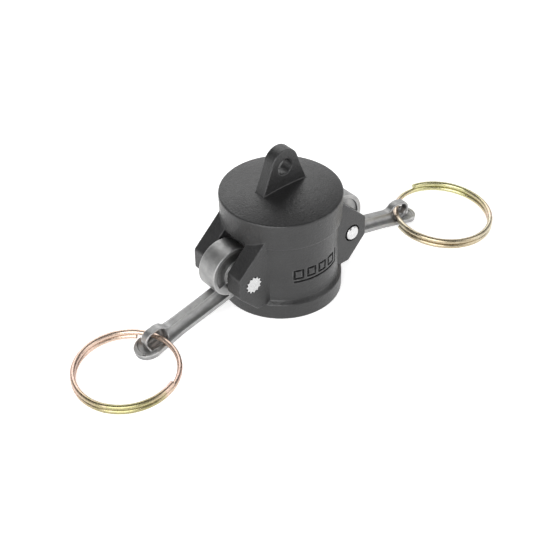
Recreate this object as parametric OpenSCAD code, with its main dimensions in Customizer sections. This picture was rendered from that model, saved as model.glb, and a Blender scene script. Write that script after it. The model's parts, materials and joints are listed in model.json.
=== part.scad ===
// Camlock dust cap: a moulded cup that slides over a male adapter, with two
// cast cam arms that swing up and lock it, and a split ring on each arm.
// +Z runs up the cap's axis. The origin is the centre of its open mouth.
// The arms lie along X and their pins along Y.

/* [Cup] */
// Bore that slides over the male adapter
bore_d = 24.3; // [24.1:0.1:24.7]
// Outside diameter of the lip round the mouth
lip_d = 35.7; // [35:0.1:36]
// Height of the straight part of the lip
lip_h = 5; // [4.4:0.2:5.2]
// Outside diameter of the waist between lip and band
waist_d = 33.2; // [32.8:0.2:34]
// Outside diameter of the band round the closed end
band_d = 36; // [35.6:0.2:37]
// Height of the step under the band
band_z = 24.8; // [24.6:0.1:25]
// Height from the mouth to the top edge of the band
cap_h = 33.4; // [33:0.2:35]
// Rise of the domed top above the band
dome_h = 2.3; // [1:0.1:3]
// Thickness of the closed end
end_t = 4; // [3:0.5:4.5]

/* [Gasket] */
// Outside diameter of the gasket
gasket_d = 27.4; // [27:0.1:27.8]
// Inside diameter of the gasket
gasket_hole_d = 15.9; // [14:0.1:18]
// Thickness of the gasket
gasket_t = 3.9; // [3:0.1:4]

/* [Lugs and pins] */
// Gap between the two lugs that hold an arm
slot_w = 9.5; // [8.6:0.1:9.7]
// Thickness of one lug
lug_t = 5.55; // [5:0.05:6]
// Distance from the cap's axis to the lugs' outer faces
lug_reach = 24.05; // [23.6:0.05:25]
// Distance from the cap's axis to a pin's axis
pin_x = 18.9; // [18.9:0.1:19.3]
// Height of a pin's axis
pin_z = 14.6; // [14.4:0.1:14.8]
// Diameter of a pin's plain shank
pin_d = 4.5; // [4:0.1:4.6]
// Diameter over the teeth of a pin's splined end
spline_d = 5.5; // [5.2:0.1:5.8]
// Number of teeth round the splined end
spline_teeth = 12; // [10:1:20]

/* [Tie lug] */
// Thickness of the eye plate on top
tie_t = 3.8; // [3:0.2:5]
// Width of the eye plate where it leaves the top
tie_base_w = 17.2; // [15:0.2:18]
// Height of the eye plate above the band's top edge
tie_h = 14.4; // [13:0.2:16]
// Radius of the eye plate's round end
tie_r = 4.7; // [4.2:0.1:5.2]
// Diameter of the hole for a retaining chain
tie_hole_d = 5; // [4:0.2:5.2]

/* [Cam arms] */
// Width of an arm's cam head
head_w = 6.8; // [6:0.1:7]
// Radius of the cam, struck off the pin's axis
cam_r = 7.6; // [7.2:0.1:7.7]
// Offset of the cam's centre from the pin, along the arm
cam_along = 1.15; // [0.9:0.05:1.6]
// Offset of the cam's centre from the pin, across the arm
cam_across = 1.75; // [1.4:0.05:1.8]
// Radius of the boss round the pin
boss_r = 6.6; // [6.2:0.1:6.6]
// Distance from the pin to the arm's tip
arm_len = 36.6; // [35.5:0.1:37]
// Thickness of the arm's flat back
back_t = 1.4; // [1.3:0.1:1.6]
// Width of the rib along the arm
rib_w = 2.4; // [2.2:0.1:3]
// Radius of the round tip
tip_r = 4.2; // [3.8:0.1:4.4]
// Distance from the pin to the middle of the ring's eye
eye_x = 29.6; // [29:0.1:29.8]
// Radius of the eye's two rounded ends
eye_r = 2; // [1.9:0.05:2.1]
// Length of the straight part between the eye's rounded ends
eye_slot = 1.8; // [1.4:0.1:2]
// Thickness of the hoop round the eye
hoop_t = 1; // [0.9:0.1:1.3]
// Angle that each arm droops to when it is let down
droop = 12.9; // [12.5:0.1:13]
// How far the right arm has slid along its pin
slide_right = -0.6; // [-0.9:0.1:0.9]

/* [Pull rings] */
// Outside diameter of a split ring
ring_d = 31.2; // [29:0.2:33]
// Diameter of its wire
wire_d = 1.55; // [1.4:0.05:1.6]
// Angle between the right arm and the line to its ring's centre
ring_skew_right = -40; // [-40:1:0]
// Angle between the left arm and the line to its ring's centre
ring_skew_left = 19; // [0:1:40]
// How far each ring's wire rests in from the middle of its eye, and below it
ring_seat = 0.45; // [0.3:0.05:0.5]
// Single wire between the right ring's upper end and the arm's eye
ring_gap_right = 55; // [40:1:90]
// Single wire between the left ring's upper end and the arm's eye
ring_gap_left = 86; // [40:1:90]

/* [Hidden] */

$fn = 96;
past = 1; // how far a cutter runs past the face that it cuts
corner_steps = 5; // straight pieces in a rounded corner

bore_r = bore_d / 2;
lip_r = lip_d / 2;
waist_r = waist_d / 2;
band_r = band_d / 2;
band_draft = 0.3; // the band is this much smaller in radius at its step
lip_slope = 1.1; // height of the slope from lip to waist
groove_r = gasket_d / 2 + 0.1;
bore_top = cap_h - end_t;
groove_z = bore_top - gasket_t - 0.1;

lug_y = slot_w / 2 + lug_t; // outer faces of the lugs
lug_root = 12; // the lugs start inside the wall
lug_crest_z = 18.2; // where the outer face turns in towards the band
lug_heel_z = 11.9; // where the outer face turns in towards the lip
lug_foot_x = 17.6;
lug_rise = 0.956; // slope of the lugs' upper edges

pin_stand = 0.4; // how far a pin's plain end stands out of its lug
spline_stand = 0.1; // how far its splined end does
tooth_h = 0.6;
spline_bite = 0.15; // how far the teeth bite into their lug
pin_fit = 0.05; // running clearance of an arm on its pin
mouth_fit = 0.45; // extra radius at the mouth of a plain pin hole
mouth_depth = 1.2;

mark_depth = 0.7; // of the engraved marking panel
mark_line = 0.6; // width of its grooves
mark_rule_z = 12; // height of the rule under it
mark_rule_w = 15.4;
mark_cell = [3, 3.3]; // one empty marking window
mark_pitch = 3.9;
mark_cells = 4;

tie_z = cap_h + tie_h - tie_r; // centre of the eye plate's round end
tie_hole_z = tie_z - 1;

back_z = -boss_r; // back face of an arm, tangent to its boss
back_top = back_z + back_t;
rib_top_head = -2.6; // top of the rib beside the head
rib_top_eye = -3; // top of the rib beside the eye
rib_foot_r = 1.9; // fillet between rib and back
eye_z = -3.5;
eye_flare = 0.6; // rounding of the eye's edges, which lets the ring lie askew
hoop_r = eye_r + hoop_t;
hoop_blend_r = 3; // fillet between rib and hoop
back_w = head_w; // width of the back along the shank
flare_x = 22; // where the back starts to widen towards the tip
pocket_depth = 0.8; // of the crescent recess in each side of the head
pocket_rim = 1.35; // width of the rim outside it
pocket_boss = 4.3; // radius of the raised boss inside it
tip_lip = 0.35; // height of the rim round the tip
tip_dish = 1.3; // width of that rim
gate_turn = 35; // where the gate's pit lies, round from the tip's end
gate_r = 0.45;

ring_r = (ring_d - wire_d) / 2;
ring_pitch = wire_d + 0.05; // rise of the coil in one turn
ring_past_eye = 23; // single wire beyond the eye, as an angle
ring_step = 6; // angle between sections of the wire
wire_sides = 12;
// Where the wire rests in the right-hand eye, from the cap's axis and up from the mouth
wire_x = pin_x + (eye_x - ring_seat) * cos(droop) + (eye_z - ring_seat) * sin(droop);
wire_z = pin_z - (eye_x - ring_seat) * sin(droop) + (eye_z - ring_seat) * cos(droop);
// A ring leans until the far side of its lower coil lies on the ground
ring_lean = asin((wire_z - ring_pitch / 2 - wire_d / 2) / (2 * ring_r));

// ---------- outlines ----------

function unit(v) = v / norm(v);

// Points of an arc of radius r tangent to both sides of a corner
function corner(before, at, after, r) =
    r == 0 ? [at] :
    let (
        u = unit(before - at),
        w = unit(after - at),
        half = acos(u * w) / 2,
        centre = at + unit(u + w) * r / sin(half),
        start = at + u * r / tan(half) - centre,
        end = at + w * r / tan(half) - centre,
        first = atan2(start.y, start.x),
        turn = (atan2(end.y, end.x) - first + 900) % 360 - 180
    )
    [for (i = [0:corner_steps])
        let (a = first + turn * i / corner_steps)
        centre + r * [cos(a), sin(a)]];

// An outline with each corner rounded to its own radius
function rounded(points, radii) =
    let (n = len(points))
    [for (i = [0:n - 1])
        each corner(points[(i + n - 1) % n], points[i], points[(i + 1) % n], radii[i])];

// Stands an XZ outline up and gives it a width w, centred on y = 0
module upright(w) {
    rotate([90, 0, 0]) linear_extrude(w, center = true) children();
}

// Turns what is drawn for the right-hand side (+X) to the side asked for
module on_side(side) {
    rotate([0, 0, side > 0 ? 0 : 180]) children();
}

// ---------- cap ----------

module cup() {
    outline = rounded(
        [[0, 0], [lip_r, 0], [lip_r, lip_h], [waist_r, lip_h + lip_slope], [waist_r, band_z],
         [band_r - band_draft, band_z], [band_r, cap_h], [0, cap_h]],
        [0, 0.5, 0.3, 0.5, 0.2, 0.3, 0.6, 0]);
    rotate_extrude($fn = 192) polygon(outline);
    // The dome is a slice off a large ball
    dome_edge = band_r - 0.6;
    ball_r = (dome_edge * dome_edge + dome_h * dome_h) / (2 * dome_h);
    intersection() {
        translate([0, 0, cap_h + dome_h - ball_r]) sphere(ball_r, $fn = 360);
        translate([0, 0, bore_top]) cylinder(r = dome_edge, h = end_t + dome_h, $fn = 192);
    }
}

module bore() {
    translate([0, 0, -past]) cylinder(r = bore_r, h = bore_top + past);
    translate([0, 0, groove_z]) cylinder(r = groove_r, h = bore_top - groove_z);
}

module lug_pair() {
    crest = lug_crest_z + (lug_reach - lug_root) * lug_rise;
    outline = rounded(
        [[lug_root, lip_h + 0.15], [lug_foot_x, lip_h + 0.15], [lug_reach, lug_heel_z],
         [lug_reach, lug_crest_z], [lug_root, crest]],
        [0, 0.6, 1.1, 1.1, 0]);
    upright(2 * lug_y) polygon(outline);
}

module slot() {
    translate([0, -slot_w / 2, lip_h]) cube([lug_reach + past, slot_w, band_z - lip_h]);
}

// Plain hole, its wider mouth on the -Y face, and the hole the splined end bites into
module pin_holes() {
    translate([pin_x, 0, pin_z]) rotate([90, 0, 0]) {
        cylinder(d = pin_d + 0.04, h = 2 * (lug_y + past), center = true);
        translate([0, 0, lug_y - mouth_depth])
            cylinder(r = pin_d / 2 + mouth_fit, h = mouth_depth + past);
        translate([0, 0, -lug_y - past]) cylinder(d = spline_d - 2 * spline_bite, h = lug_t + past);
    }
}

module mark_window() {
    difference() {
        square(mark_cell);
        translate([mark_line, mark_line]) square(mark_cell - [2, 2] * mark_line);
    }
}

// Rule, end bar and a row of empty windows, cut to an even depth round the waist
module marking() {
    difference() {
        rotate([90, 0, 0]) linear_extrude(waist_r + past) {
            translate([-mark_rule_w / 2, mark_rule_z]) square([mark_rule_w, mark_line]);
            translate([mark_rule_w / 2, mark_rule_z])
                square([mark_line, mark_cell.y + 3 * mark_line]);
            for (i = [0:mark_cells - 1])
                translate([(i - mark_cells / 2) * mark_pitch, mark_rule_z + 2 * mark_line])
                    mark_window();
        }
        cylinder(r = waist_r - mark_depth, h = cap_h);
    }
}

module tie_lug() {
    // Sides run straight from the base and touch the round end
    reach = norm([tie_base_w / 2, tie_z - cap_h]);
    side = acos(tie_r / reach) - atan2(tie_z - cap_h, tie_base_w / 2);
    shoulder = tie_r * [cos(side), sin(side)];
    upright(tie_t) difference() {
        union() {
            translate([0, tie_z]) circle(tie_r);
            polygon([[-tie_base_w / 2, cap_h - past], [tie_base_w / 2, cap_h - past],
                     [tie_base_w / 2, cap_h], [shoulder.x, tie_z + shoulder.y],
                     [-shoulder.x, tie_z + shoulder.y], [-tie_base_w / 2, cap_h]]);
        }
        translate([0, tie_hole_z]) circle(d = tie_hole_d);
    }
}

module cap_body() {
    color([0.10, 0.10, 0.11])
    difference() {
        union() {
            cup();
            for (side = [-1, 1]) on_side(side) lug_pair();
            tie_lug();
        }
        bore();
        for (side = [-1, 1]) on_side(side) {
            slot();
            pin_holes();
        }
        marking();
    }
}

module gasket() {
    outline = rounded(
        [[gasket_hole_d / 2, 0], [gasket_d / 2, 0], [gasket_d / 2, gasket_t],
         [gasket_hole_d / 2, gasket_t]],
        [0.4, 0.4, 0.4, 0.4]);
    color([0.06, 0.06, 0.06])
    translate([0, 0, bore_top - gasket_t]) rotate_extrude() polygon(outline);
}

// ---------- pins ----------

module pivot_pin() {
    tooth = function (i) (spline_d / 2 - (i % 2) * tooth_h)
        * [cos(i * 180 / spline_teeth), sin(i * 180 / spline_teeth)];
    end = lug_y + pin_stand;
    start = -slot_w / 2 - past; // the plain shank starts inside the splined end's lug
    chamfer = 0.35;
    translate([pin_x, 0, pin_z]) rotate([90, 0, 0]) {
        translate([0, 0, -lug_y - spline_stand]) linear_extrude(lug_t + spline_stand)
            polygon([for (i = [0:2 * spline_teeth - 1]) tooth(i)]);
        rotate_extrude() polygon([[0, start], [pin_d / 2, start], [pin_d / 2, end - chamfer],
                                  [pin_d / 2 - chamfer, end], [0, end]]);
    }
}

module pin_on(side) {
    color([0.85, 0.86, 0.87]) on_side(side) pivot_pin();
}

// ---------- cam arms, drawn along +X from the pin, back down ----------

module head_outline() {
    translate([cam_along, cam_across]) circle(cam_r);
    circle(boss_r);
}

// Crescent between the raised boss and the cam's rim, on the rib's side only
module pocket_outline() {
    difference() {
        translate([cam_along, cam_across]) circle(cam_r - pocket_rim);
        circle(pocket_boss);
        translate([-2 * cam_r, -4 * cam_r - 0.4]) square(4 * cam_r);
    }
}

// A slot shape: two circles joined by straight sides, for the eye and the hoop round it
module eye_shape(r) {
    for (end = [-1, 1]) translate([eye_x + end * eye_slot / 2, eye_z]) circle(r);
    translate([eye_x - eye_slot / 2, eye_z - r]) square([eye_slot, 2 * r]);
}

module rib_outline() {
    // Centre of the fillet that touches the rib's top and the hoop
    eye = [eye_x - eye_slot / 2, eye_z];
    blend = [eye.x - sqrt(pow(hoop_r + hoop_blend_r, 2)
                          - pow(rib_top_eye + hoop_blend_r - eye_z, 2)),
             rib_top_eye + hoop_blend_r];
    touch = eye + hoop_r * unit(blend - eye);
    difference() {
        union() {
            polygon([[boss_r / 2, back_z + 0.5], [eye_x, back_z + 0.5], [eye_x, rib_top_eye],
                     [blend.x, rib_top_eye], [cam_r, rib_top_head], [boss_r / 2, rib_top_head]]);
            difference() {
                polygon([[blend.x, back_top], [eye.x, back_top], eye, touch, blend]);
                translate(blend) circle(hoop_blend_r);
            }
            intersection() {
                eye_shape(hoop_r);
                translate([0, back_z + 0.5]) square([arm_len, 2 * hoop_r]);
            }
        }
        eye_shape(eye_r);
    }
}

// Cuts the eye's rim away from both faces of the rib in a quarter round
module eye_mouths() {
    arc = [for (i = [0:corner_steps])
        let (a = 90 * i / corner_steps)
        [eye_r + eye_flare * (1 - cos(a)), rib_w / 2 - eye_flare * (1 - sin(a))]];
    section = concat([[0, rib_w / 2 - eye_flare]], arc, [[eye_r + eye_flare, rib_w], [0, rib_w]]);
    for (face = [0, 180]) translate([eye_x, 0, eye_z]) rotate([90, 0, face]) {
        for (end = [-1, 1]) translate([end * eye_slot / 2, 0, 0]) rotate_extrude() polygon(section);
        for (half = [0, 180]) rotate([90, 0, 90 + half])
            translate([0, 0, -eye_slot / 2]) linear_extrude(eye_slot) polygon(section);
    }
}

// Section across the rib, with a fillet down to the back on each side
module rib_section() {
    foot = rib_w / 2 + rib_foot_r;
    polygon(rounded(
        [[-foot, back_top], [-rib_w / 2, back_top], [-rib_w / 2, hoop_r], [rib_w / 2, hoop_r],
         [rib_w / 2, back_top], [foot, back_top], [foot, back_z + 0.5], [-foot, back_z + 0.5]],
        [0, rib_foot_r * 0.99, 0, 0, rib_foot_r * 0.99, 0, 0, 0]));
}

module rib() {
    intersection() {
        upright(2 * head_w) rib_outline();
        rotate([90, 0, 90]) linear_extrude(arm_len) rib_section();
    }
}

module back_outline() {
    polygon([[0, -back_w / 2], [flare_x, -back_w / 2], [arm_len - tip_r, -tip_r],
             [arm_len - tip_r, tip_r], [flare_x, back_w / 2], [0, back_w / 2]]);
    translate([arm_len - tip_r, 0]) circle(tip_r);
}

module back() {
    translate([0, 0, back_z]) linear_extrude(back_t) back_outline();
    // Raised rim round the tip, with the pit that the casting's gate left
    translate([arm_len - tip_r, 0, back_top]) linear_extrude(tip_lip) difference() {
        circle(tip_r);
        translate([-tip_dish, 0]) circle(tip_r);
        rotate(gate_turn) translate([tip_r - tip_dish / 2, 0]) circle(gate_r);
    }
}

module cam_arm() {
    difference() {
        union() {
            upright(head_w) head_outline();
            back();
            rib();
        }
        rotate([90, 0, 0]) cylinder(d = pin_d + 2 * pin_fit, h = head_w + 2 * past, center = true);
        eye_mouths();
        for (face = [-1, 1])
            translate([0, face * head_w / 2, 0]) upright(2 * pocket_depth) pocket_outline();
    }
}

module arm_on(side, slide) {
    color([0.62, 0.63, 0.64])
    on_side(side) translate([pin_x, slide, pin_z]) rotate([0, droop, 0]) cam_arm();
}

// ---------- pull rings, drawn with the wire at the arm's eye at the origin ----------

// A point on the wire's surface: a is the way round the coil from the eye, b round the wire
function wire_point(a, b) =
    let (out = ring_r + wire_d / 2 * cos(b))
    [ring_r - out * cos(a), -out * sin(a), ring_pitch * a / 360 + wire_d / 2 * sin(b)];

module split_ring(gap) {
    last = 360 - gap; // upper end of the wire
    first = ring_past_eye - 360; // lower end of the wire
    steps = ceil((last - first) / ring_step);
    points = [for (i = [0:steps], k = [0:wire_sides - 1])
        wire_point(first + (last - first) * i / steps, 360 * k / wire_sides)];
    sides = [for (i = [0:steps - 1], k = [0:wire_sides - 1])
        let (next = (k + 1) % wire_sides, row = i * wire_sides)
        [row + k, row + next, row + wire_sides + next, row + wire_sides + k]];
    lower_end = [for (k = [0:wire_sides - 1]) wire_sides - 1 - k];
    upper_end = [for (k = [0:wire_sides - 1]) steps * wire_sides + k];
    polyhedron(points, concat([lower_end], sides, [upper_end]));
}

module ring_on(side, slide, skew, gap) {
    color([0.80, 0.72, 0.50])
    on_side(side) translate([wire_x, slide, wire_z])
        rotate([0, 0, skew]) rotate([0, ring_lean, 0]) split_ring(gap);
}

module cam_arm_left() { arm_on(-1, 0); }
module cam_arm_right() { arm_on(1, slide_right); }
module pivot_pin_left() { pin_on(-1); }
module pivot_pin_right() { pin_on(1); }
module pull_ring_left() { ring_on(-1, 0, ring_skew_left, ring_gap_left); }
module pull_ring_right() { ring_on(1, slide_right, ring_skew_right, ring_gap_right); }

cap_body();
gasket();
cam_arm_left();
cam_arm_right();
pivot_pin_left();
pivot_pin_right();
pull_ring_left();
pull_ring_right();
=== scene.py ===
"""Looks for the camlock dust cap.

A black moulded cap, cast steel cam arms, steel pins, a rubber gasket and zinc plated split rings. The cap,
arms, pins and gasket are the CAD solids with softened edges. The rings are wound again as finer meshes.
"""

import json
import math

import bpy
from mathutils import Matrix, Vector


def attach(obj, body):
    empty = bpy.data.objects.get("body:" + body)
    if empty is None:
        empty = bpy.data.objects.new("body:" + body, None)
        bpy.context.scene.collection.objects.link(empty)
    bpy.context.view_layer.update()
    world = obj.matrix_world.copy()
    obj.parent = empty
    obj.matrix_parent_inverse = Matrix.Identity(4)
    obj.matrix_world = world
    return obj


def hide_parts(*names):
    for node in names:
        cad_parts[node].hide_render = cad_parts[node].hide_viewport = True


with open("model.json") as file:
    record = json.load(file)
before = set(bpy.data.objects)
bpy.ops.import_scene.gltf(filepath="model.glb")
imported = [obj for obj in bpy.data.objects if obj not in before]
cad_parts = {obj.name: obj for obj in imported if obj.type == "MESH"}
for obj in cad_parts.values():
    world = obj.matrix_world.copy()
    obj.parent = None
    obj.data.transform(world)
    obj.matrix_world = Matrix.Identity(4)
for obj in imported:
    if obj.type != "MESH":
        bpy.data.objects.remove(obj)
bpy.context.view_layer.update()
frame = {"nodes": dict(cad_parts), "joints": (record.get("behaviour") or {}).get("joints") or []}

MM = 0.001
nodes = frame["nodes"]
joints = {j["name"]: j for j in frame["joints"]}

# ---------------------------------------------------------------- camera

VIEW_AZIMUTH = math.radians(-40.26)
VIEW_ELEVATION = math.radians(38.35)
VIEW_ROLL = math.radians(-0.36)
VIEW_DISTANCE = 462.3 * MM
VIEW_TARGET = Vector((-0.30, 0.26, 0.48)) * MM
LENS = 99.5  # mm of focal length, on the sensor below
SENSOR_WIDTH = 36
NEAREST, FARTHEST = 0.01, 20  # metres that the camera sees between


def view_back(azimuth, elevation):
    """Unit vector from the object towards an eye or a light in that direction."""
    flat = math.cos(elevation)
    return Vector((math.sin(azimuth) * flat, -math.cos(azimuth) * flat, math.sin(elevation)))


def add_camera():
    data = bpy.data.cameras.new("camera")
    data.lens = LENS
    data.sensor_width = SENSOR_WIDTH
    data.clip_start = NEAREST
    data.clip_end = FARTHEST
    camera = bpy.data.objects.new("camera", data)
    bpy.context.scene.collection.objects.link(camera)
    back = view_back(VIEW_AZIMUTH, VIEW_ELEVATION)
    level = (-back).to_track_quat("-Z", "Y").to_matrix()
    turned = level @ Matrix.Rotation(VIEW_ROLL, 3, "Z")
    camera.matrix_world = Matrix.Translation(VIEW_TARGET + back * VIEW_DISTANCE) @ turned.to_4x4()
    bpy.context.scene.camera = camera


# ---------------------------------------------------------------- node helpers

COLOUR_A, COLOUR_B, COLOUR_OUT = 6, 7, 2  # places of a Mix node's colour sockets
OCCLUSION_SAMPLES = 8


class Shader:
    """A Principled material being built, with short calls for the nodes it uses."""

    def __init__(self, name):
        self.material = bpy.data.materials.new(name)
        self.material.use_nodes = True
        self.tree = self.material.node_tree
        self.tree.nodes.clear()
        self.surface = self.tree.nodes.new("ShaderNodeBsdfPrincipled")
        output = self.tree.nodes.new("ShaderNodeOutputMaterial")
        self.tree.links.new(self.surface.outputs["BSDF"], output.inputs["Surface"])
        self.coords = self.tree.nodes.new("ShaderNodeTexCoord")

    def node(self, kind, **settings):
        """Adds a shader node and sets its properties."""
        made = self.tree.nodes.new("ShaderNode" + kind)
        for name, value in settings.items():
            setattr(made, name, value)
        return made

    def feed(self, target, value):
        """Links an output to an input, or sets the input to a plain value."""
        if isinstance(value, bpy.types.NodeSocket):
            self.tree.links.new(value, target)
        else:
            target.default_value = value

    def place(self, scale=(1, 1, 1), space="Object"):
        """Texture coordinates, stretched by scale."""
        mapping = self.node("Mapping")
        self.tree.links.new(self.coords.outputs[space], mapping.inputs["Vector"])
        mapping.inputs["Scale"].default_value = scale
        return mapping.outputs["Vector"]

    def noise(self, size, detail=3.0, rough=0.55, stretch=(1, 1, 1), space="Object", warp=0.0):
        """Cloudy noise whose blobs are about size metres across."""
        made = self.node("TexNoise")
        self.tree.links.new(self.place(stretch, space), made.inputs["Vector"])
        made.inputs["Scale"].default_value = 1 / size
        made.inputs["Detail"].default_value = detail
        made.inputs["Roughness"].default_value = rough
        made.inputs["Distortion"].default_value = warp
        return made.outputs["Fac"]

    def along(self, direction, start, end):
        """0 to 1 along a direction through the object, between two distances from its origin."""
        dot = self.node("VectorMath", operation="DOT_PRODUCT")
        self.tree.links.new(self.coords.outputs["Object"], dot.inputs[0])
        dot.inputs[1].default_value = direction
        span = self.node("MapRange")
        self.tree.links.new(dot.outputs["Value"], span.inputs["Value"])
        span.inputs["From Min"].default_value = start
        span.inputs["From Max"].default_value = end
        return span.outputs["Result"]

    def cells(self, size):
        """Distance to the nearest of many scattered points, for specks and pits."""
        made = self.node("TexVoronoi")
        self.tree.links.new(self.place(), made.inputs["Vector"])
        made.inputs["Scale"].default_value = 1 / size
        return made.outputs["Distance"]

    def ramp(self, value, stops):
        """Colour ramp through (place, colour or grey) stops."""
        made = self.node("ValToRGB")
        self.tree.links.new(value, made.inputs["Fac"])
        bar = made.color_ramp.elements
        while len(bar) < len(stops):
            bar.new(0.5)
        for element, (place, tone) in zip(bar, stops):
            element.position = place
            element.color = (*tone, 1) if isinstance(tone, tuple) else (tone, tone, tone, 1)
        return made.outputs["Color"]

    def mix(self, amount, first, second, how="MIX"):
        """Blends from one colour to another by amount."""
        made = self.node("Mix", data_type="RGBA", blend_type=how)
        self.feed(made.inputs["Factor"], amount)
        self.feed(made.inputs[COLOUR_A], first)
        self.feed(made.inputs[COLOUR_B], second)
        return made.outputs[COLOUR_OUT]

    def math(self, operation, first, second):
        """One operation on two values, such as ADD or MULTIPLY."""
        made = self.node("Math", operation=operation)
        self.feed(made.inputs[0], first)
        self.feed(made.inputs[1], second)
        return made.outputs[0]

    def openness(self, distance, inside=False):
        """Ambient occlusion: 1 in the open, darker in corners, or along outer edges if seen from inside."""
        made = self.node("AmbientOcclusion", samples=OCCLUSION_SAMPLES, inside=inside)
        made.inputs["Distance"].default_value = distance
        return made.outputs["AO"]

    def edges(self, distance):
        """1 along outer edges, 0 on flats and in hollows."""
        return self.ramp(self.openness(distance, inside=True), [(0.62, 1.0), (0.92, 0.0)])

    def bump(self, height, depth, strength=1.0, below=None):
        """A bumped normal from height, depth metres high, laid over the bumps below it."""
        made = self.node("Bump")
        made.inputs["Strength"].default_value = strength
        made.inputs["Distance"].default_value = depth
        self.tree.links.new(height, made.inputs["Height"])
        if below is not None:
            self.tree.links.new(below, made.inputs["Normal"])
        return made.outputs["Normal"]

    def finish(self, **inputs):
        """Sets the surface's sockets, named with _ for each space, and returns the material."""
        for name, value in inputs.items():
            self.feed(self.surface.inputs[name.replace("_", " ")], value)
        return self.material


# ---------------------------------------------------------------- materials


def cap_plastic():
    """Black polypropylene: spark eroded texture, faint flow marks, scuffed edges, dust."""
    s = Shader("cap_plastic")
    deep, plain, flowed = (0.010, 0.010, 0.0104), (0.015, 0.015, 0.0154), (0.025, 0.025, 0.026, 1)
    scuffed, dusty = (0.16, 0.16, 0.165, 1), (0.12, 0.12, 0.12, 1)
    tone = s.ramp(s.noise(6 * MM, 4), [(0.35, deep), (0.7, plain)])
    flow = s.noise(1.6 * MM, 3, stretch=(1, 1, 0.12), warp=0.4)
    tone = s.mix(s.ramp(flow, [(0.5, 0.0), (0.75, 0.2)]), tone, flowed)
    worn = s.math("MULTIPLY", s.edges(0.5 * MM), s.ramp(s.noise(0.9 * MM, 5), [(0.35, 0.0), (0.7, 1.0)]))
    tone = s.mix(s.math("MULTIPLY", worn, 0.5), tone, scuffed)
    dust = s.ramp(s.cells(1.1 * MM), [(0.0, 1.0), (0.035, 1.0), (0.05, 0.0)])
    dust = s.math("MULTIPLY", dust, s.ramp(s.noise(5 * MM, 2), [(0.5, 0.0), (0.62, 0.4)]))
    tone = s.mix(dust, tone, dusty)
    rough = s.ramp(s.noise(1.2 * MM, 6, 0.7, warp=0.6), [(0.3, 0.28), (0.72, 0.44)])
    fine = s.bump(s.noise(0.16 * MM, 2), 0.010 * MM, 0.7)
    coarse = s.bump(s.noise(0.6 * MM, 3, 0.65), 0.13 * MM, 0.9, fine)
    sink = s.bump(s.noise(7 * MM, 2), 0.12 * MM, 0.35, coarse)
    return s.finish(Base_Color=tone, Roughness=rough, Normal=sink, Specular_IOR_Level=0.62)


def arm_steel():
    """Cast stainless steel, tumbled: fine cast skin, polished edges, painted shade darkening its pockets."""
    s = Shader("arm_steel")
    dull, clean = (0.30, 0.30, 0.30), (0.42, 0.42, 0.415)
    pocket_shade, polished = (0.55, 0.55, 0.56, 1), (0.62, 0.62, 0.615, 1)
    tone = s.ramp(s.noise(2.2 * MM, 5), [(0.3, dull), (0.72, clean)])
    # Painted shade: the colour darkens where ambient occlusion finds pockets, corners and recesses.
    pocket = s.ramp(s.openness(2.2 * MM), [(0.35, 0.0), (0.95, 1.0)])
    tone = s.mix(pocket, s.mix(1.0, tone, pocket_shade, "MULTIPLY"), tone)
    tone = s.mix(s.math("MULTIPLY", s.edges(0.6 * MM), 0.7), tone, polished)
    rough = s.ramp(s.noise(0.8 * MM, 4, warp=0.5), [(0.3, 0.38), (0.75, 0.52)])
    skin = s.bump(s.noise(0.45 * MM, 4, 0.65), 0.05 * MM, 0.8)
    dents = s.bump(s.noise(2.6 * MM, 2), 0.10 * MM, 0.5, skin)
    scratches = s.bump(s.noise(0.25 * MM, 2, stretch=(0.08, 1, 1)), 0.006 * MM, 0.5, dents)
    return s.finish(Base_Color=tone, Metallic=1.0, Roughness=rough, Normal=scratches)


def pin_steel():
    """Bright cut steel with fine turning marks."""
    s = Shader("pin_steel")
    grey, bright = (0.56, 0.56, 0.565), (0.69, 0.69, 0.69)
    tone = s.ramp(s.noise(0.8 * MM, 4), [(0.3, grey), (0.7, bright)])
    rough = s.ramp(s.noise(0.4 * MM, 4), [(0.3, 0.22), (0.7, 0.36)])
    turned = s.bump(s.noise(0.12 * MM, 3, stretch=(1, 0.2, 1)), 0.008 * MM, 0.6)
    return s.finish(Base_Color=tone, Metallic=1.0, Roughness=rough, Normal=turned)


# The film's colour drifts slowly from one end of the object to the other, along this direction
FILM_DIRECTION = (0.646, 0.763, 0)
FILM_START, FILM_END = -60 * MM, 46 * MM
FILM_WANDER = 0.16  # how far noise shifts the drift, as a share of its length
FILM_TONES = [
    (0.03, (0.40, 0.37, 0.19)),  # olive
    (0.12, (0.76, 0.55, 0.48)),  # pink
    (0.28, (0.73, 0.56, 0.46)),
    (0.70, (0.50, 0.42, 0.29)),  # bronze
    (0.79, (0.66, 0.60, 0.46)),  # straw
    (0.86, (0.74, 0.58, 0.49)),  # pink
    (0.96, (0.60, 0.58, 0.32)),  # olive straw
]


def ring_zinc():
    """Yellow chromate over zinc: straw, olive and pink bands that run into each other."""
    s = Shader("ring_zinc")
    stain = (0.24, 0.20, 0.12, 1)
    drift = s.along(FILM_DIRECTION, FILM_START, FILM_END)
    film = s.math("ADD", drift, s.math("MULTIPLY", s.noise(4 * MM, 2, warp=0.8), FILM_WANDER))
    tone = s.ramp(s.math("SUBTRACT", film, FILM_WANDER / 2), FILM_TONES)
    blotch = s.ramp(s.noise(0.7 * MM, 4), [(0.35, 0.0), (0.75, 0.35)])
    tone = s.mix(blotch, tone, stain)
    rough = s.ramp(s.noise(0.5 * MM, 4), [(0.3, 0.22), (0.75, 0.38)])
    drawn = s.bump(s.noise(0.16 * MM, 3, stretch=(0.06, 1, 1), space="UV"), 0.006 * MM, 0.6)
    pitted = s.bump(s.noise(0.35 * MM, 3), 0.012 * MM, 0.5, drawn)
    return s.finish(Base_Color=tone, Metallic=1.0, Roughness=rough, Normal=pitted)


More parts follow.
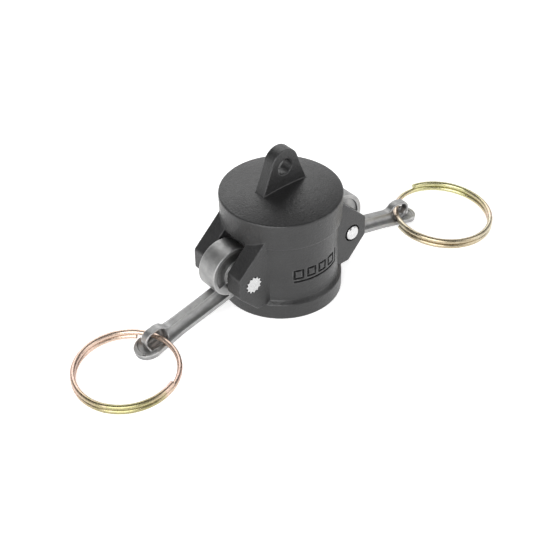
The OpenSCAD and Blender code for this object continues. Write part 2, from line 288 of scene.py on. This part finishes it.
def gasket_rubber():
    """Black nitrile with a fine matt skin and a few paler clouds."""
    s = Shader("gasket_rubber")
    black, bloomed = (0.016, 0.016, 0.017), (0.035, 0.035, 0.036)
    tone = s.ramp(s.noise(2 * MM, 4), [(0.35, black), (0.75, bloomed)])
    rough = s.ramp(s.noise(0.9 * MM, 4), [(0.3, 0.62), (0.7, 0.82)])
    skin = s.bump(s.noise(0.22 * MM, 4), 0.02 * MM, 0.7)
    return s.finish(Base_Color=tone, Roughness=rough, Normal=skin)


# ---------------------------------------------------------------- CAD nodes


def soften(obj, voxel, passes):
    """Rounds a CAD solid's sharp edges, as moulding and casting do, in passes over a mesh of voxels."""
    remesh = obj.modifiers.new("skin", "REMESH")
    remesh.mode = "VOXEL"
    remesh.voxel_size = voxel
    remesh.use_smooth_shade = True
    smooth = obj.modifiers.new("round", "SMOOTH")
    smooth.factor = 0.5
    smooth.iterations = passes


def paint(obj, material):
    """Gives a piece its one material."""
    obj.data.materials.clear()
    obj.data.materials.append(material)


def dress_cad_nodes():
    """Paints and softens every CAD node but the rings, which are replaced below."""
    looks = {
        # start of the node's name: material, slot, voxel size, smoothing passes
        "cap_body": (cap_plastic(), "cap_plastic", 0.15 * MM, 4),
        "gasket": (gasket_rubber(), "gasket_rubber", 0.2 * MM, 3),
        "cam_arm": (arm_steel(), "arm_steel", 0.13 * MM, 7),
        "pivot_pin": (pin_steel(), "pin_steel", 0.07 * MM, 1),
    }
    for name, node in nodes.items():
        for start, (material, slot, voxel, passes) in looks.items():
            if name.startswith(start):
                paint(node, material)
                soften(node, voxel, passes)


# ---------------------------------------------------------------- split rings

WIRE_R = 0.775 * MM
RING_R = 14.825 * MM  # to the middle of the wire
COIL_PITCH = 1.6 * MM
PAST_EYE = 23  # degrees of single wire beyond the eye
SEAT = 0.45 * MM  # the wire rests this far in from the middle of its eye, and below it
ARM_DROOP = math.radians(12.9)  # how far the arms hang below level at rest
RINGS = {
    # side: +1 or -1 along X, skew to its arm, and single wire before the eye, in degrees
    "left": (-1, 19, 86),
    "right": (1, -40, 55),
}
WIRE_SIDES = 28
WIRE_STEP = 2.0  # degrees of coil between two rows of points
WIRE_END = [(0, 0.86), (0.25, 0.97)]  # degrees in from a cut end, and how full the wire is there


def ring_mesh(name, gap, to_world):
    """A coiled wire with slightly rounded ends, and its rows of (angle, fullness), from its lower end up."""
    first, last = PAST_EYE - 360, 360 - gap
    steps = round((last - first) / WIRE_STEP)
    rows = [(first + inset, fullness) for inset, fullness in WIRE_END]
    rows += [(first + (last - first) * i / steps, 1.0) for i in range(1, steps)]
    rows += [(last - inset, fullness) for inset, fullness in reversed(WIRE_END)]
    points = []
    for angle, fullness in rows:
        a = math.radians(angle)
        for k in range(WIRE_SIDES):
            b = 2 * math.pi * k / WIRE_SIDES
            out = RING_R + WIRE_R * fullness * math.cos(b)
            up = COIL_PITCH * angle / 360 + WIRE_R * fullness * math.sin(b)
            points.append(to_world @ Vector((RING_R - out * math.cos(a), -out * math.sin(a), up)))
    faces = []
    for i in range(len(rows) - 1):
        for k in range(WIRE_SIDES):
            following = (k + 1) % WIRE_SIDES
            here, there = i * WIRE_SIDES, (i + 1) * WIRE_SIDES
            faces.append((here + k, here + following, there + following, there + k))
    top = (len(rows) - 1) * WIRE_SIDES
    faces.append(tuple(reversed(range(WIRE_SIDES))))
    faces.append(tuple(range(top, top + WIRE_SIDES)))
    mesh = bpy.data.meshes.new(name)
    mesh.from_pydata(points, [], faces)
    mesh.update()
    return mesh, rows


def add_wire_uv(mesh, rows):
    """U runs along the wire and V round it, both in metres, so that drawing marks follow the wire."""
    layer = mesh.uv_layers.new(name="wire")
    for face in mesh.polygons:
        for loop in face.loop_indices:
            row, side = divmod(mesh.loops[loop].vertex_index, WIRE_SIDES)
            along = math.radians(rows[row][0]) * RING_R
            layer.data[loop].uv = (along, side / WIRE_SIDES * 2 * math.pi * WIRE_R)


def ring_place(eye, side, skew):
    """The ring's own frame at rest: its wire lies in the eye and its far side on the ground."""
    along = Vector((side * math.cos(ARM_DROOP), 0, -math.sin(ARM_DROOP)))
    across = Vector((side * math.sin(ARM_DROOP), 0, math.cos(ARM_DROOP)))
    wire = eye - SEAT * (along + across)
    lean = math.asin((wire.z - COIL_PITCH / 2 - WIRE_R) / (2 * RING_R))
    heading = math.radians(skew) + (0 if side > 0 else math.pi)
    return Matrix.Translation(wire) @ Matrix.Rotation(heading, 4, "Z") @ Matrix.Rotation(lean, 4, "Y")


def add_rings():
    """Winds both split rings, in place of the CAD's pull rings."""
    zinc = ring_zinc()
    for name, (side, skew, gap) in RINGS.items():
        eye = Vector(joints[f"ring_{name}_swing"]["pos_m"])
        mesh, rows = ring_mesh(f"split_ring_{name}", gap, ring_place(eye, side, skew))
        add_wire_uv(mesh, rows)
        mesh.polygons.foreach_set("use_smooth", [len(face.vertices) == 4 for face in mesh.polygons])
        ring = bpy.data.objects.new(f"split_ring_{name}", mesh)
        bpy.context.scene.collection.objects.link(ring)
        paint(ring, zinc)
        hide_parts(f"pull_ring_{name}")
        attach(ring, f"ring_{name}")


# ---------------------------------------------------------------- studio

FLOOR_REACH = 3.0  # metres each way
FLOOR_GAP = 0.05 * MM  # keeps the floor clear of the faces that stand on it
FLOOR_GLOW = 0.6  # lifts the floor to the near white of a lit sweep
AIM = Vector((0, 0, 15 * MM))  # the point that the lights face
LIGHTS = {
    # azimuth and elevation in degrees, distance and (width, height) in metres, watts
    "key": (-60, 30, 0.9, (0.8, 0.8), 7),
    "fill": (35, 30, 1.0, (0.5, 0.8), 2),
    "back": (150, 40, 1.0, (0.9, 0.6), 3.5),
}
WHITE = (1, 1, 1, 1)
CEILING_GREY = (0.15, 0.15, 0.15, 1)
DARKENS_FROM, DARKEST_FROM = 0.05, 0.6  # how far up a direction points, from 0 level to 1 overhead


def add_floor():
    s = Shader("floor")
    s.finish(Base_Color=(0.9, 0.9, 0.9, 1), Roughness=0.9, Emission_Color=WHITE, Emission_Strength=FLOOR_GLOW)
    mesh = bpy.data.meshes.new("floor")
    corners = [(-1, -1), (1, -1), (1, 1), (-1, 1)]
    mesh.from_pydata([(x * FLOOR_REACH, y * FLOOR_REACH, 0) for x, y in corners], [], [(0, 1, 2, 3)])
    mesh.materials.append(s.material)
    floor = bpy.data.objects.new("floor", mesh)
    floor.location.z = -FLOOR_GAP
    bpy.context.scene.collection.objects.link(floor)


def add_softbox(name, azimuth, elevation, distance, size, watts):
    data = bpy.data.lights.new(name, "AREA")
    data.shape = "RECTANGLE"
    data.size, data.size_y = size
    data.energy = watts
    light = bpy.data.objects.new(name, data)
    back = view_back(math.radians(azimuth), math.radians(elevation))
    light.location = back * distance + AIM
    light.rotation_mode = "QUATERNION"
    light.rotation_quaternion = back.to_track_quat("Z", "Y")
    bpy.context.scene.collection.objects.link(light)


def add_sky():
    """A white sweep all round that darkens towards the ceiling."""
    world = bpy.data.worlds.new("studio")
    bpy.context.scene.world = world
    world.use_nodes = True
    tree = world.node_tree
    coords = tree.nodes.new("ShaderNodeTexCoord")
    split = tree.nodes.new("ShaderNodeSeparateXYZ")
    height = tree.nodes.new("ShaderNodeValToRGB")
    tree.links.new(coords.outputs["Generated"], split.inputs["Vector"])
    tree.links.new(split.outputs["Z"], height.inputs["Fac"])
    tree.links.new(height.outputs["Color"], tree.nodes["Background"].inputs["Color"])
    low, high = height.color_ramp.elements
    low.position, low.color = DARKENS_FROM, WHITE
    high.position, high.color = DARKEST_FROM, CEILING_GREY


def add_studio():
    add_sky()
    for name, placing in LIGHTS.items():
        add_softbox(name, *placing)
    bpy.context.scene.view_settings.view_transform = "Standard"


add_camera()
add_floor()
add_studio()
dress_cad_nodes()
add_rings()
